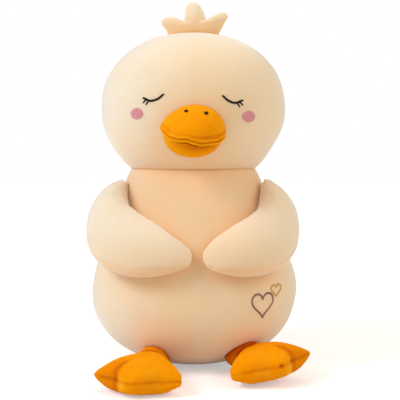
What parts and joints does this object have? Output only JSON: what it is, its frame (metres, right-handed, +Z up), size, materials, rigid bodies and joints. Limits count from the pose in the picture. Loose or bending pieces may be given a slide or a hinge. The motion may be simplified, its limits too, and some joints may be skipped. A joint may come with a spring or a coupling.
{
  "type": "plush duck",
  "caption": "Sitting plush duck with a round head on an egg-shaped torso, folded wings, a bill, a lobed tuft and webbed feet.",
  "frame": {"origin": "middle of the flat seat under the torso, on the surface that the duck sits on", "axes": "+X is the duck's left, -Y its front, +Z up"},
  "size_m": [0.2931, 0.3153, 0.5026],
  "materials": {
    "cream_plush": "matte",
    "orange_plush": "matte",
    "fibre_filling": "matte",
    "dark_thread": "matte",
    "nostril_thread": "matte",
    "pink_thread": "matte",
    "rosewood_thread": "matte",
    "mustard_thread": "matte"
  },
  "bodies": {
    "body": {"body_cover": "cream_plush", "body_filling": "fibre_filling", "head_cover": "cream_plush", "head_filling": "fibre_filling", "tuft_cover": "cream_plush", "tuft_filling": "fibre_filling", "upper_bill_cover": "orange_plush", "upper_bill_filling": "fibre_filling", "lower_bill_cover": "orange_plush", "lower_bill_filling": "fibre_filling", "left_eye": "dark_thread", "right_eye": "dark_thread", "left_cheek": "pink_thread", "right_cheek": "pink_thread", "left_nostril": "nostril_thread", "right_nostril": "nostril_thread", "belly_heart_large": "rosewood_thread", "belly_heart_small": "mustard_thread"},
    "left_wing": {"left_wing_cover": "cream_plush", "left_wing_filling": "fibre_filling"},
    "right_wing": {"right_wing_cover": "cream_plush", "right_wing_filling": "fibre_filling"},
    "left_leg": {"left_leg_cover": "orange_plush", "left_leg_filling": "fibre_filling", "left_foot_cover": "orange_plush", "left_foot_filling": "fibre_filling"},
    "right_leg": {"right_leg_cover": "orange_plush", "right_leg_filling": "fibre_filling", "right_foot_cover": "orange_plush", "right_foot_filling": "fibre_filling"}
  },
  "joints": [
    {"name": "left_wing_open", "type": "hinge", "parent": "body", "child": "left_wing", "pos_m": [0.1127, -0.0206, 0.2], "axis": [-0.3372, 0.061, 0.9395], "range_deg": [0, 60], "stiffness_Nm_per_rad": 0.3, "springref_deg": -20.05},
    {"name": "right_wing_open", "type": "hinge", "parent": "body", "child": "right_wing", "pos_m": [-0.1127, -0.0206, 0.2], "axis": [-0.3372, -0.061, -0.9395], "range_deg": [0, 60], "stiffness_Nm_per_rad": 0.3, "springref_deg": -20.05},
    {"name": "left_leg_lift", "type": "hinge", "parent": "body", "child": "left_leg", "pos_m": [0.0755, -0.0855, 0.0448], "axis": [-0.8359, -0.5489, 0], "range_deg": [0, 30], "stiffness_Nm_per_rad": 0.3, "springref_deg": -11.46},
    {"name": "right_leg_lift", "type": "hinge", "parent": "body", "child": "right_leg", "pos_m": [-0.053, -0.0972, 0.0447], "axis": [-0.9267, 0.3759, 0], "range_deg": [0, 30], "stiffness_Nm_per_rad": 0.3, "springref_deg": -11.46}
  ]
}
